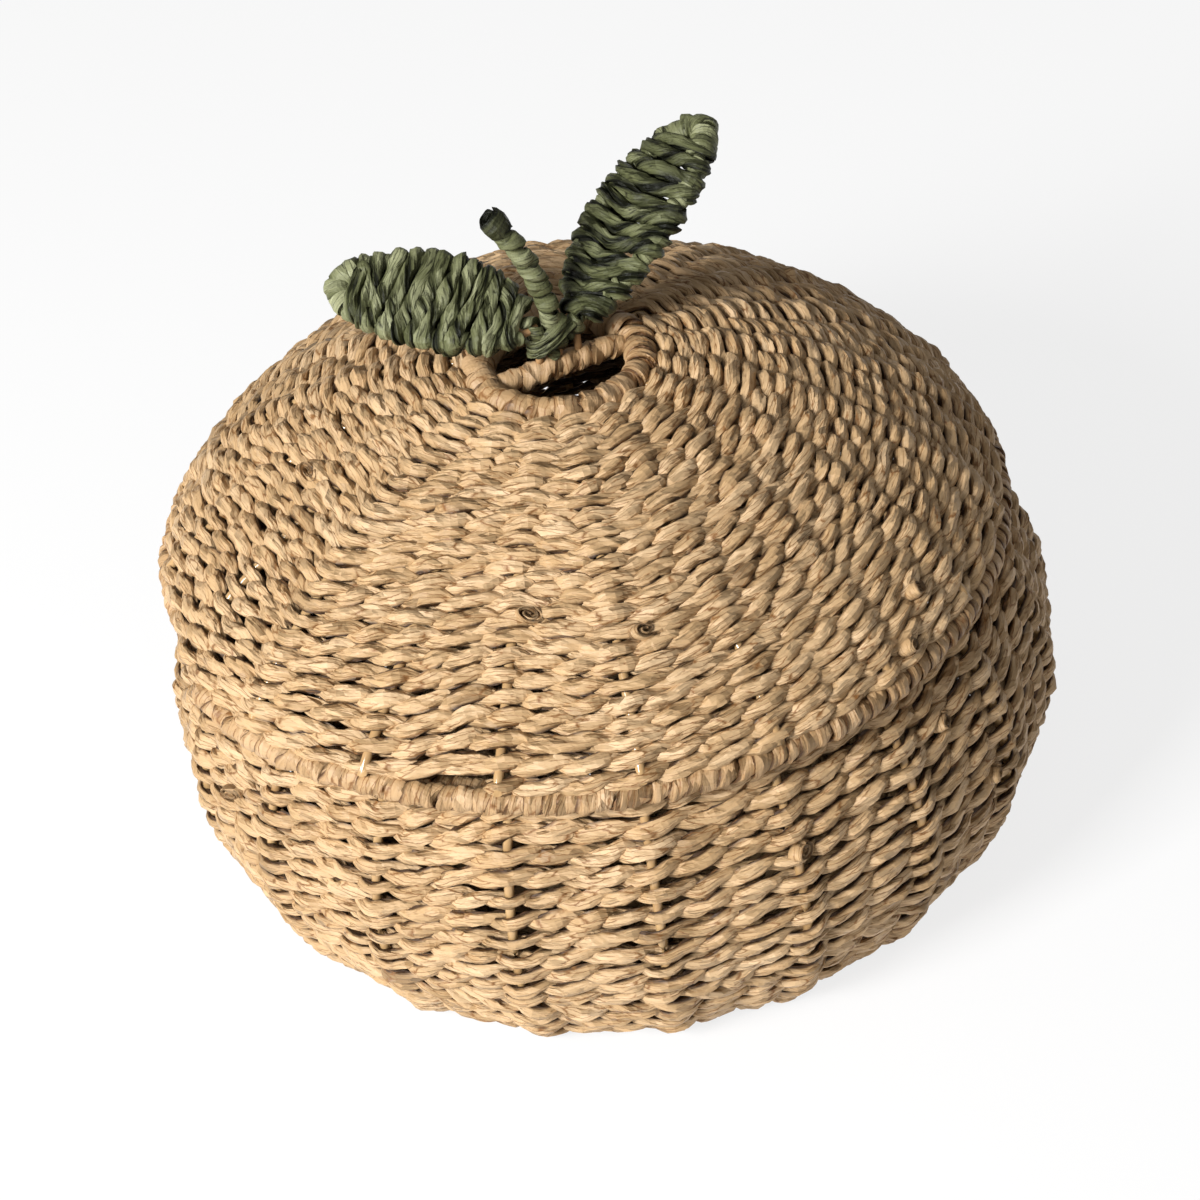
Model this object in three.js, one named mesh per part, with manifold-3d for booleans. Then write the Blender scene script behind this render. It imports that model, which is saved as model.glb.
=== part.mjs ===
// Lidded fruit basket: twined paper rope on two wire frames, with wound rims and a green leaf knob.
// Millimetres, +Z up, origin under the middle of the floor.
// Azimuths are degrees from the front (-Y) towards +X.

import * as THREE from 'three';
import { mergeVertices } from 'three/addons/utils/BufferGeometryUtils.js';
import Module from 'manifold-3d';

const wasm = await Module();
wasm.setup();

// Shared sizes
const clearance = 0.3;           // gap left between pieces that touch
const wireDiameter = 3;          // frame wire of ribs, rings and crossbar
const weaveThickness = 8;        // two rope strands with a rib between them
const rimWrapDiameter = 6.7;     // rim wire with its paper winding
const ribCount = 20;
const ribSides = 5;
const boreSides = 4;
const ringSides = 6;
const wrapSides = 8;
const columns = 2 * ribCount;    // facets round the basket, two to a rib

// Base
const floorRadius = 110.6;
const floorLip = 5;              // level edge of the wall round the floor
const floorRingRadius = 17;
const bellyRadius = 138.4;
const bellyHeight = 52;
const baseRimRadius = 121;
const baseRimHeight = 104.3;
const bellyRoundness = 1.46;     // exponent of the curve from floor to belly
const baseRibAzimuth = -17;
const baseRows = 5;              // steps up the wall

// Lid
const lidShiftX = -4;            // the lid sits a little off the middle
const lidShiftY = 0;
const lidRimOverhang = 8;        // lid rim's radius beyond the base rim's
const lidRise = 57.5;            // rim ring to hole ring
const holeRingRadius = 24.5;
const lidCrown = 1.75;           // exponent of the flat top
const lidShoulder = 1.4;         // exponent of the steep side
const lidRimGap = 3;             // bare rib between the last row and the rim
const collarGap = 0.9;           // between the first row and the hole's collar
const lidRibAzimuth = -51;       // this rib carries the crease
const lidRows = 5;               // steps over the dome

// Crease of the lid: two flats that meet at one rib
const creaseRightTurn = 33;
const creaseLeftTurn = 27;
const creaseShare = 0.055;       // share by which the crease stands out of the round
const flatReach = 35;            // azimuth over which a flat stays straight
const flatEnd = 60;              // azimuth where it has joined the round

// Open ends of the lid rim, which pass each other
const rimLapAzimuth = -58;
const rimLapAngle = 10;
const rimLapEase = 30;
const rimLapGap = 0.6;
const rimLapLift = 0.3;
const rimSteps = 36;

// Windings of straw-coloured strand
const strawStrand = 3.6;
const loopSteps = 8;             // steps in a loop round a ring or a bar
const crossbarLoops = 5;
const crossbarPitch = 6.4;
const strandSides = 5;

// Stem
const stemWire = 2.4;
const stemStrand = 2.4;
const stemHeight = 51;
const stemLean = 15;
const stemLoops = 10;

// Leaves
const leafWire = 2.4;
const leafStrand = 3.4;
const leafSlack = 0.8;           // looseness of the loops round the slanting wire
const leafHalfWidth = 12;        // middle of the leaf to its edge wire
const leafStalk = 10;            // upright wire below the leaf
const leafArch = 4;              // rise of the middle of the leaf over its ends
const leafPitch = 4.6;           // from loop to loop along the leaf
const leafStartShare = 0.1;      // shares of the leaf's length
const leafEndShare = 0.92;
const leafWireSteps = 22;
const leafPoint = 1.2;           // exponent that draws the ends to a point
const leftLeafReach = new THREE.Vector3(-56, 18, 25);
const leftLeafFace = new THREE.Vector3(0, -0.45, 0.9);
const rightLeafReach = new THREE.Vector3(45, 34, 48.7);
const rightLeafFace = new THREE.Vector3(-0.5, -0.4, 0.76);

const strawMaterial = new THREE.MeshStandardMaterial({ color: 0xc8aa7d, roughness: 0.85, metalness: 0 });
const wrapMaterial = new THREE.MeshStandardMaterial({ color: 0xcdb185, roughness: 0.8, metalness: 0 });
const wireMaterial = new THREE.MeshStandardMaterial({ color: 0xb8905a, roughness: 0.35, metalness: 0 });
const greenMaterial = new THREE.MeshStandardMaterial({ color: 0x55694b, roughness: 0.8, metalness: 0 });
const twigMaterial = new THREE.MeshStandardMaterial({ color: 0x7a5a38, roughness: 0.5, metalness: 0 });

const basket = new THREE.Group();
const base = new THREE.Group();
const lid = new THREE.Group();
lid.position.set(lidShiftX, lidShiftY, 0);
basket.add(base, lid);

const wireRadius = wireDiameter / 2;
const wrapRadius = rimWrapDiameter / 2;
const halfWeave = weaveThickness / 2;
const seatRadius = wireRadius + clearance;
const ribStep = 360 / ribCount;

// A point at a radius, an azimuth and a height
function polar(radius, azimuth, height) {
  const angle = THREE.MathUtils.degToRad(azimuth);
  return new THREE.Vector3(radius * Math.sin(angle), -radius * Math.cos(angle), height);
}

// Smooth rise from 0 to 1 between two values
function ease(value, from, to) {
  return THREE.MathUtils.smoothstep(value, from, to);
}

// Signed angle from one azimuth to another, between -180 and 180
function turnFrom(azimuth, origin) {
  return THREE.MathUtils.euclideanModulo(azimuth - origin + 180, 360) - 180;
}

function addPiece(group, name, geometry, material) {
  const mesh = new THREE.Mesh(geometry, material);
  mesh.name = name;
  group.add(mesh);
}

// Geometry to solid and back, for cuts
function solidOf(geometry) {
  const bare = geometry.clone();
  bare.deleteAttribute('normal');
  bare.deleteAttribute('uv');
  const merged = mergeVertices(bare, 1e-4);
  const vertProperties = new Float32Array(merged.attributes.position.array);
  const triVerts = new Uint32Array(merged.index.array);
  return new wasm.Manifold(new wasm.Mesh({ numProp: 3, vertProperties, triVerts }));
}

function geometryOf(solid) {
  const mesh = solid.getMesh();
  const geometry = new THREE.BufferGeometry();
  geometry.setAttribute('position', new THREE.BufferAttribute(mesh.vertProperties, 3));
  geometry.setIndex(new THREE.BufferAttribute(mesh.triVerts, 1));
  geometry.computeVertexNormals();
  return geometry;
}

// A geometry with a list of other geometries cut out of it
function cutBy(geometry, cutters) {
  let solid = solidOf(geometry);
  for (const cutter of cutters) {
    solid = solid.subtract(solidOf(cutter));
  }
  return geometryOf(solid);
}

// Corner radius of a bore of flat sides that clears the wire in it
function boreRadius(sides) {
  return seatRadius / Math.cos(Math.PI / sides);
}

// Regular polygon with its corners at the given radius
function polygonPoints(cornerRadius, sides) {
  return Array.from({ length: sides }, (_, i) => {
    const angle = (2 * Math.PI * i) / sides;
    return new THREE.Vector2(cornerRadius * Math.cos(angle), cornerRadius * Math.sin(angle));
  });
}

// Round bar of a given radius along a curve, with flat ends
function barAlong(curve, radius, sides, steps) {
  const shape = new THREE.Shape(polygonPoints(radius, sides));
  return new THREE.ExtrudeGeometry(shape, { steps, extrudePath: curve, bevelEnabled: false });
}

// Pipe along a curve, open at both ends
function pipeAlong(curve, radius, sides, steps) {
  const shape = new THREE.Shape(polygonPoints(radius, sides));
  shape.holes.push(new THREE.Path(polygonPoints(boreRadius(ringSides), ringSides)));
  return new THREE.ExtrudeGeometry(shape, { steps, extrudePath: curve, bevelEnabled: false });
}

// Closed profile of radius and height, listed anticlockwise, turned about the Z axis
function turned(profile, startAzimuth, facets = columns) {
  const closed = [...profile, profile[0]];
  const start = THREE.MathUtils.degToRad(startAzimuth);
  return new THREE.LatheGeometry(closed, facets, start).rotateX(Math.PI / 2);
}

// Level ring of round section
function ringAt(ringRadius, height, radius, startAzimuth, facets) {
  const section = polygonPoints(radius, ringSides);
  const profile = section.map((p) => new THREE.Vector2(ringRadius + p.x, height + p.y));
  return turned(profile, startAzimuth, facets);
}

// Profile of a wall of the weave's thickness round the part of a curve between two lengths
function wallProfile(curve, from, to, rows) {
  const total = curve.getLength();
  const outer = [];
  const inner = [];
  for (let i = 0; i <= rows; i += 1) {
    const share = (from + ((to - from) * i) / rows) / total;
    const point = curve.getPointAt(share);
    const along = curve.getTangentAt(share);
    const out = new THREE.Vector2(along.y, -along.x).multiplyScalar(halfWeave);
    outer.push(point.clone().add(out));
    inner.push(point.clone().sub(out));
  }
  return [...outer, ...inner.reverse()];
}

// Base profile: middle of the wall from the floor's edge up to the rim
const floorHeight = halfWeave;
const profilePoints = 40;
const lipPoints = 3;

function baseProfile() {
  const lipRadius = floorRadius + floorLip;
  const points = [];
  for (let i = 0; i < lipPoints; i += 1) {
    points.push(new THREE.Vector2(floorRadius + (floorLip * i) / lipPoints, floorHeight));
  }
  for (let i = 0; i <= profilePoints; i += 1) {
    const angle = (Math.PI / 2) * (i / profilePoints);
    const out = Math.sin(angle) ** (2 / bellyRoundness);
    const up = 1 - Math.cos(angle) ** (2 / bellyRoundness);
    const radius = lipRadius + (bellyRadius - lipRadius) * out;
    points.push(new THREE.Vector2(radius, floorHeight + (bellyHeight - floorHeight) * up));
  }
  for (let i = 1; i <= profilePoints; i += 1) {
    const share = i / profilePoints;
    const radius = bellyRadius - (bellyRadius - baseRimRadius) * share ** 2;
    points.push(new THREE.Vector2(radius, bellyHeight + (baseRimHeight - bellyHeight) * share));
  }
  return new THREE.SplineCurve(points);
}

// The lid comes to rest where it has shifted furthest and the two rims touch
const rimStep = lidRimOverhang - Math.hypot(lidShiftX, lidShiftY);
const rimSpacing = rimWrapDiameter + clearance;
const lidRimHeight = baseRimHeight + Math.sqrt(Math.max(0, rimSpacing ** 2 - rimStep ** 2));

// Lid profile: middle of the wall from the rim ring up to the hole ring
const lidRimRadius = baseRimRadius + lidRimOverhang;
const holeHeight = lidRimHeight + lidRise;

function lidProfileCurve() {
  const points = [];
  for (let i = 0; i <= profilePoints; i += 1) {
    const angle = (Math.PI / 2) * (i / profilePoints);
    const share = Math.cos(angle) ** (2 / lidCrown);
    const up = (Math.sin(angle) ** 2) ** (1 / lidShoulder);
    const radius = holeRingRadius + (lidRimRadius - holeRingRadius) * share;
    points.push(new THREE.Vector2(radius, lidRimHeight + lidRise * up));
  }
  return new THREE.SplineCurve(points);
}

const wallCurve = baseProfile();
const domeCurve = lidProfileCurve();
const wallLength = wallCurve.getLength();
const domeLength = domeCurve.getLength();

// Loops of straw strand round the hole ring and the crossbar, and the span of the dome that is woven
const strawLoop = loopRadius(wireRadius, clearance, strawStrand, loopSteps);
const domeStart = wrapRadius + lidRimGap;
const domeEnd = domeLength - strawLoop - strawStrand / 2 - collarGap;

// Plan of the lid: share of the round radius at an azimuth, with two flats that meet at the crease
function planShare(azimuth) {
  const turn = turnFrom(azimuth, lidRibAzimuth);
  const side = turn > 0 ? creaseRightTurn : creaseLeftTurn;
  const away = Math.abs(turn);
  const flatDistance = (1 + creaseShare) * Math.cos(THREE.MathUtils.degToRad(side));
  const bend = THREE.MathUtils.degToRad(Math.min(away, flatEnd) - side);
  const round = ease(away, flatReach, flatEnd);
  return (flatDistance / Math.cos(bend)) * (1 - round) + round;
}

// Plan at a length up the dome: the crease fades out at both edges of the weave
function lidPlan(azimuth, length) {
  const share = THREE.MathUtils.clamp((length - domeStart) / (domeEnd - domeStart), 0, 1);
  return 1 + Math.sin(Math.PI * share) * (planShare(azimuth) - 1);
}

// Path of the lid rim: almost a full round, its ends side by side
function rimOffset(turn) {
  const outward = wrapRadius + rimLapGap / 2;
  const start = 1 - ease(turn, rimLapAngle, rimLapAngle + rimLapEase);
  const end = ease(turn, 360 - rimLapEase, 360);
  return outward * (start - end);
}

function rimPoint(turn) {
  const lift = rimLapLift * ease(turn, 360 - rimLapEase, 360);
  const azimuth = rimLapAzimuth - rimLapAngle / 2 + turn;
  return polar(lidRimRadius + rimOffset(turn), azimuth, lidRimHeight + lift);
}

function rimCurve() {
  const points = [];
  for (let i = 0; i <= 2 * rimSteps; i += 1) {
    points.push(rimPoint(((360 + rimLapAngle) * i) / (2 * rimSteps)));
  }
  return new THREE.CatmullRomCurve3(points);
}

// Rim offset and lift where a rib stands
function rimAtRib(azimuth) {
  const turn = THREE.MathUtils.euclideanModulo(azimuth - rimLapAzimuth + rimLapAngle / 2, 360);
  return rimPoint(turn);
}

// Rib of the base: in from the rim, down the wall and under the floor to its ring
function baseRibPoints(azimuth) {
  const top = wallLength - seatRadius;
  const points = [];
  for (let i = 0; i <= baseRows; i += 1) {
    const p = wallCurve.getPointAt((top * (baseRows - i)) / baseRows / wallLength);
    points.push(polar(p.x, azimuth, p.y));
  }
  points.push(polar(floorRingRadius + seatRadius, azimuth, floorHeight));
  return points;
}

// Rib of the lid: upright out of the rim, then over the dome to the hole ring
function lidRibPoints(azimuth) {
  const foot = rimAtRib(azimuth);
  const up = (height) => foot.clone().add(new THREE.Vector3(0, 0, height));
  const points = [up(seatRadius), up(wrapRadius + lidRimGap / 2)];
  const end = domeLength - seatRadius;
  for (let i = 1; i <= lidRows; i += 1) {
    const length = domeStart + ((end - domeStart) * i) / lidRows;
    const p = domeCurve.getPointAt(length / domeLength);
    points.push(polar(p.x * lidPlan(azimuth, length), azimuth, p.y));
  }
  return points;
}

// Least gap between parts of one strand that lie more than a few diameters apart along it
function leastGap(points, diameter) {
  const fine = new THREE.CatmullRomCurve3(points).getSpacedPoints(points.length * 3);
  const spacing = fine[0].distanceTo(fine[1]);
  const apart = Math.ceil((2.5 * diameter) / spacing);
  let least = Infinity;
  for (let i = 0; i < fine.length; i += 1) {
    for (let j = i + apart; j < fine.length; j += 1) {
      least = Math.min(least, fine[i].distanceTo(fine[j]));
    }
  }
  return least - diameter;
}

// One unbroken round bar through a list of points, with flat ends and a corner towards the first normal
function barThrough(points, radius, sides, firstNormal) {
  const positions = [];
  const faces = [];
  const normal = firstNormal.clone();
  const last = points.length - 1;
  points.forEach((point, i) => {
    const before = points[Math.max(i - 1, 0)];
    const after = points[Math.min(i + 1, last)];
    const along = after.clone().sub(before).normalize();
    normal.addScaledVector(along, -normal.dot(along)).normalize();
    const across = along.clone().cross(normal);
    for (let s = 0; s < sides; s += 1) {
      const angle = (2 * Math.PI * s) / sides;
      const corner = point.clone().addScaledVector(normal, radius * Math.cos(angle));
      corner.addScaledVector(across, radius * Math.sin(angle));
      positions.push(corner.x, corner.y, corner.z);
    }
  });
  for (let i = 0; i < last; i += 1) {
    for (let s = 0; s < sides; s += 1) {
      const a = i * sides + s;
      const b = i * sides + ((s + 1) % sides);
      faces.push(a, b, b + sides, a, b + sides, a + sides);
    }
  }
  for (let s = 1; s < sides - 1; s += 1) {
    faces.push(0, s + 1, s);
    faces.push(last * sides, last * sides + s, last * sides + s + 1);
  }
  const geometry = new THREE.BufferGeometry();
  geometry.setAttribute('position', new THREE.Float32BufferAttribute(positions, 3));
  geometry.setIndex(faces);
  geometry.computeVertexNormals();
  return geometry;
}

// A point straight on past an end, away from the point before it
function runOn(end, before, distance) {
  return end.clone().sub(before).setLength(distance).add(end);
}

// Both ends of a strand run on straight for one diameter
function withStraightEnds(points, diameter) {
  const last = points.length - 1;
  const first = runOn(points[0], points[1], diameter);
  const final = runOn(points[last], points[last - 1], diameter);
  return [first, ...points, final];
}

function addWinding(group, name, points, diameter, material) {
  const route = withStraightEnds(points, diameter);
  console.log(`${name}: least gap to itself ${leastGap(route, diameter).toFixed(2)} mm`);
  const along = route[1].clone().sub(route[0]);
  const firstNormal = new THREE.Vector3(along.y, along.z, along.x);
  addPiece(group, name, barThrough(route, diameter / 2, strandSides, firstNormal), material);
}

// Radius of a loop of a few straight steps that clears the bar inside it
function loopRadius(barRadius, slack, strand, steps) {
  return (barRadius + slack + strand / 2) / Math.cos(Math.PI / steps);
}

// Frame of ribs, each a bar in its own upright plane, and the bores that they need
function addRibs(group, prefix, firstAzimuth, ribPoints) {
  const bores = { along: [], rim: [] };
  const radius = boreRadius(boreSides);
  for (let i = 0; i < ribCount; i += 1) {
    const azimuth = firstAzimuth + i * ribStep;
    const points = ribPoints(azimuth);
    const sideways = polar(1, azimuth + 90, 0);
    const name = `${prefix}_rib_${String(i + 1).padStart(2, '0')}`;
    addPiece(group, name, barThrough(points, wireRadius, ribSides, sideways), wireMaterial);
    const last = points.length - 1;
    const pastEnd = runOn(points[last], points[last - 1], seatRadius);
    const intoRing = runOn(points[0], points[1], seatRadius);
    bores.along.push(barThrough([...points, pastEnd], radius, boreSides, sideways));
    bores.rim.push(barThrough([intoRing, points[1]], radius, boreSides, sideways));
  }
  return bores;
}

// Base frame
const baseBores = addRibs(base, 'base', baseRibAzimuth, baseRibPoints);
const baseRing = ringAt(baseRimRadius, baseRimHeight, wireRadius, baseRibAzimuth, columns);
addPiece(base, 'base_rim_ring', baseRing, wireMaterial);
const floorRing = ringAt(floorRingRadius, floorHeight, wireRadius, baseRibAzimuth, ribCount);
addPiece(base, 'base_floor_ring', floorRing, wireMaterial);

// Base weave
const wallStart = clearance;
const wallEnd = wallLength - wrapRadius - clearance;
const wall = turned(wallProfile(wallCurve, wallStart, wallEnd, baseRows), baseRibAzimuth);
addPiece(base, 'base_wall_weave', cutBy(wall, baseBores.along), strawMaterial);

const floorInner = floorRingRadius + seatRadius;
const floorSection = [
  new THREE.Vector2(floorInner, 0),
  new THREE.Vector2(floorRadius, 0),
  new THREE.Vector2(floorRadius, weaveThickness),
  new THREE.Vector2(floorInner, weaveThickness),
];
const floorWeave = cutBy(turned(floorSection, baseRibAzimuth), baseBores.along);
addPiece(base, 'base_floor_weave', floorWeave, strawMaterial);

const hubRadius = floorRingRadius - seatRadius;
const hub = new THREE.CylinderGeometry(hubRadius, hubRadius, weaveThickness, ribCount).rotateX(Math.PI / 2);
addPiece(base, 'base_floor_hub', hub.translate(0, 0, floorHeight), strawMaterial);

const baseWrap = ringAt(baseRimRadius, baseRimHeight, wrapRadius, baseRibAzimuth, columns);
const baseRingBore = ringAt(baseRimRadius, baseRimHeight, boreRadius(ringSides), baseRibAzimuth, columns);
addPiece(base, 'base_rim_wrap', cutBy(baseWrap, [baseRingBore, ...baseBores.rim]), wrapMaterial);

// Lid frame
const lidBores = addRibs(lid, 'lid', lidRibAzimuth, lidRibPoints);
const lidRim = rimCurve();
addPiece(lid, 'lid_rim_ring', barAlong(lidRim, wireRadius, ringSides, rimSteps), wireMaterial);
const holeRing = ringAt(holeRingRadius, holeHeight, wireRadius, lidRibAzimuth, ribCount);
addPiece(lid, 'lid_hole_ring', holeRing, wireMaterial);

// Lid weave, turned round and then drawn to the plan with the crease
function lidWeave() {
  const profile = wallProfile(domeCurve, domeStart, domeEnd, lidRows);
  const geometry = turned(profile, lidRibAzimuth);
  const ring = profile.length + 1;
  const position = geometry.attributes.position;
  for (let i = 0; i < position.count; i += 1) {
    const inRing = (i % ring) % profile.length;
    const row = inRing <= lidRows ? inRing : profile.length - 1 - inRing;
    const length = domeStart + ((domeEnd - domeStart) * row) / lidRows;
    const azimuth = lidRibAzimuth + (Math.floor(i / ring) * 360) / columns;
    const scale = lidPlan(azimuth, length);
    position.setXY(i, position.getX(i) * scale, position.getY(i) * scale);
  }
  return geometry;
}
addPiece(lid, 'lid_weave', cutBy(lidWeave(), lidBores.along), strawMaterial);

const lidWrap = pipeAlong(lidRim, wrapRadius, wrapSides, rimSteps);
addPiece(lid, 'lid_rim_wrap', cutBy(lidWrap, lidBores.rim), wrapMaterial);

// Collar of the hole: one loop between each pair of ribs, stepping on to the next underneath
function collarPoints() {
  const points = [];
  const first = -loopSteps / 4;
  const last = ribCount * loopSteps - loopSteps / 2;
  for (let i = first; i <= last; i += 1) {
    const loop = Math.floor(i / loopSteps);
    const turn = i / loopSteps - loop;
    const azimuth = lidRibAzimuth + ribStep * (loop + 0.5 + ease(turn, 0.55, 0.9));
    const angle = 2 * Math.PI * turn;
    const radius = holeRingRadius + strawLoop * Math.cos(angle);
    points.push(polar(radius, azimuth, holeHeight + strawLoop * Math.sin(angle)));
  }
  return points;
}
addWinding(lid, 'lid_hole_winding', collarPoints(), strawStrand, wrapMaterial);

// Crossbar in line with two ribs, and its winding
const crossbarAzimuth = lidRibAzimuth - ribStep;
const crossbarHalf = holeRingRadius - seatRadius;
const crossbarFrom = polar(crossbarHalf, crossbarAzimuth, holeHeight);
const crossbarTo = polar(-crossbarHalf, crossbarAzimuth, holeHeight);
const crossbarLine = new THREE.LineCurve3(crossbarFrom, crossbarTo);
addPiece(lid, 'crossbar_wire', barAlong(crossbarLine, wireRadius, ringSides, 1), wireMaterial);

const barAlongAxis = crossbarTo.clone().sub(crossbarFrom).normalize();
const barAcross = new THREE.Vector3(0, 0, 1).cross(barAlongAxis);

function crossbarPoints() {
  const points = [];
  const count = crossbarLoops * loopSteps;
  for (let i = 0; i <= count; i += 1) {
    const turns = i / loopSteps - crossbarLoops / 2;
    const angle = 2 * Math.PI * turns + Math.PI / 2;
    const point = new THREE.Vector3(0, 0, holeHeight + strawLoop * Math.sin(angle));
    point.addScaledVector(barAlongAxis, turns * crossbarPitch);
    points.push(point.addScaledVector(barAcross, strawLoop * Math.cos(angle)));
  }
  return points;
}
addWinding(lid, 'crossbar_winding', crossbarPoints(), strawStrand, wrapMaterial);

// Feet of the leaves and the stem stand on the tops of the middle loops
const footHeight = holeHeight + strawLoop + strawStrand / 2 + clearance;

function footPoint(loop) {
  return new THREE.Vector3(0, 0, footHeight).addScaledVector(barAlongAxis, loop * crossbarPitch);
}

// Stem: a bent wire with its winding
const stemFoot = footPoint(0);
const stemTop = stemFoot.clone().add(new THREE.Vector3(-stemLean, 0, stemHeight));
const stemBend = stemFoot.clone().add(new THREE.Vector3(0, 0, stemHeight * 0.6));
const stemCurve = new THREE.QuadraticBezierCurve3(stemFoot, stemBend, stemTop);
addPiece(lid, 'stem_wire', barAlong(stemCurve, stemWire / 2, ribSides, stemLoops), twigMaterial);

function stemPoints() {
  const points = [];
  const reach = loopRadius(stemWire / 2, clearance, stemStrand, loopSteps);
  const count = stemLoops * loopSteps;
  const startShare = (2 * stemStrand) / stemCurve.getLength();
  for (let i = 0; i <= count; i += 1) {
    const share = startShare + (1 - 2 * startShare) * (i / count);
    const along = stemCurve.getTangentAt(share);
    const side = new THREE.Vector3(0, 1, 0);
    const out = side.clone().cross(along).normalize();
    const angle = (2 * Math.PI * i) / loopSteps;
    const point = stemCurve.getPointAt(share).addScaledVector(out, reach * Math.cos(angle));
    points.push(point.addScaledVector(side, reach * Math.sin(angle)));
  }
  return points;
}
addWinding(lid, 'stem_winding', stemPoints(), stemStrand, greenMaterial);

// Leaf: a wire stalk bent on round the edge, and one strand wound across it from side to side
function addLeaf(side, loop, reach, face) {
  const foot = footPoint(loop);
  const stalkTop = foot.clone().setZ(foot.z + leafStalk);
  const spine = foot.clone().add(reach).sub(stalkTop);
  const leafLength = spine.length();
  const axis = spine.clone().normalize();
  const across = face.clone().cross(axis).normalize();
  const normal = axis.clone().cross(across);
  const halfWidth = (share) => leafHalfWidth * (2 * Math.sqrt(share * (1 - share))) ** leafPoint;
  const place = (share, width, height) => {
    const point = stalkTop.clone().addScaledVector(axis, leafLength * share);
    const arch = leafArch * Math.sin(Math.PI * share);
    return point.addScaledVector(across, width).addScaledVector(normal, height + arch);
  };

  const wirePoints = [foot, foot.clone().lerp(stalkTop, 0.5)];
  const lastStep = leafWireSteps - 2;
  for (let i = 0; i <= lastStep; i += 1) {
    const angle = (2 * Math.PI * i) / leafWireSteps;
    const share = (1 - Math.cos(angle)) / 2;
    wirePoints.push(place(share, Math.sign(Math.sin(angle)) * halfWidth(share), 0));
  }
  const wireCurve = new THREE.CatmullRomCurve3(wirePoints);
  const wire = barAlong(wireCurve, leafWire / 2, ribSides, leafWireSteps + 4);
  addPiece(lid, `leaf_${side}_wire`, wire, twigMaterial);

  const endSteps = 3;
  const leafLoopSteps = 2 * (endSteps + 1);
  const reachOut = (leafWire / 2 + leafSlack + leafStrand / 2) / Math.cos(Math.PI / endSteps / 2);
  const points = [];
  const loops = Math.round((leafLength * (leafEndShare - leafStartShare)) / leafPitch);
  const count = loops * leafLoopSteps;
  for (let i = 0; i <= count; i += 1) {
    const share = leafStartShare + ((leafEndShare - leafStartShare) * i) / count;
    const step = i % leafLoopSteps;
    const rightSide = step <= endSteps;
    const angle = (Math.PI * (rightSide ? step : step - 1)) / endSteps - Math.PI / 2;
    const centre = rightSide ? halfWidth(share) : -halfWidth(share);
    points.push(place(share, centre + reachOut * Math.cos(angle), reachOut * Math.sin(angle)));
  }
  addWinding(lid, `leaf_${side}_winding`, points, leafStrand, greenMaterial);
}
addLeaf('left', -1, leftLeafReach, leftLeafFace);
addLeaf('right', 1, rightLeafReach, rightLeafFace);

export default basket;
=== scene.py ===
# Lidded fruit basket: paper rope twined over wire ribs, wound rims, a knob of green leaves and a stem
import math
import bpy
import numpy as np
from mathutils import Matrix


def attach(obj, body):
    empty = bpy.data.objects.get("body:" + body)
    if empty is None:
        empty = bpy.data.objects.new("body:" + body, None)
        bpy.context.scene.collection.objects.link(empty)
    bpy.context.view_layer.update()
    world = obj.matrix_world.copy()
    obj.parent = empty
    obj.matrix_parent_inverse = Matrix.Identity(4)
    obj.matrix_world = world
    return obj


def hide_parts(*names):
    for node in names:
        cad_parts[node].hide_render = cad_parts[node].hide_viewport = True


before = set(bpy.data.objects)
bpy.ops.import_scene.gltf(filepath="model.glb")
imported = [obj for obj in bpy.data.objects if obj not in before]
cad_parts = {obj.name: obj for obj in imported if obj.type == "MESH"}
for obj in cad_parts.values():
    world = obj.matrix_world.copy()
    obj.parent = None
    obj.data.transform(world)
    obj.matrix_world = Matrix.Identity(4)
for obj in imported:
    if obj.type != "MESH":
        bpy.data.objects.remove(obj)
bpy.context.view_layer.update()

print("frame loaded")

metre = 0.001  # shapes are worked out in millimetres
wire = 1.5  # radius of the frame wire
weld = 1.8  # a wire ends this far from the middle of the wire that it meets
ribCount = 20
ribStep = 360 / ribCount


def addObject(name, data):  # a mesh, lamp or camera put into the scene
    made = bpy.data.objects.new(name, data)
    bpy.context.collection.objects.link(made)
    return made


def turnedTo(right, up, back, place):  # matrix with the three axes and the place as its columns
    return Matrix(np.vstack([np.column_stack([right, up, back, place]), [0, 0, 0, 1]]).tolist())


# camera at the photograph's angle

view = {"target": (-1.975, 0.0, 74.341), "distance": 1000.0, "elevation": 39.79, "roll": 7.9, "lens": 94.19,
        "sensor": 36.0, "near": 0.05}


def makeCamera():  # back from the target along the line of sight, then turned about that line
    rise = math.radians(view["elevation"])
    roll = math.radians(view["roll"])
    back = np.array([0.0, -math.cos(rise), math.sin(rise)])
    right = np.array([1.0, 0.0, 0.0])
    up = np.cross(back, right)
    place = (np.array(view["target"]) + back * view["distance"]) * metre
    rolledRight = right * math.cos(roll) - up * math.sin(roll)
    rolledUp = right * math.sin(roll) + up * math.cos(roll)
    camera = addObject("camera", bpy.data.cameras.new("camera"))
    camera.data.lens = view["lens"]
    camera.data.sensor_width = view["sensor"]
    camera.data.clip_start = view["near"]
    camera.matrix_world = turnedTo(rolledRight, rolledUp, back, place)
    bpy.context.scene.camera = camera


makeCamera()
print("camera placed")


# small tools on arrays of points

sines = {"count": 5, "shortest": 0.6, "longest": 1.7, "level": 1.2}  # unevenness of strands


def unit(vectors):  # each vector over its own length
    return vectors / np.linalg.norm(vectors, axis=-1, keepdims=True)


def allAlong(vector, count):  # the same direction at every point of a path
    return np.tile(np.asarray(vector, float), (count, 1))


def runOf(points):  # distance along a path: its steps added up
    return np.concatenate([[0.0], np.cumsum(np.linalg.norm(np.diff(points, axis=0), axis=1))])


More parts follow.
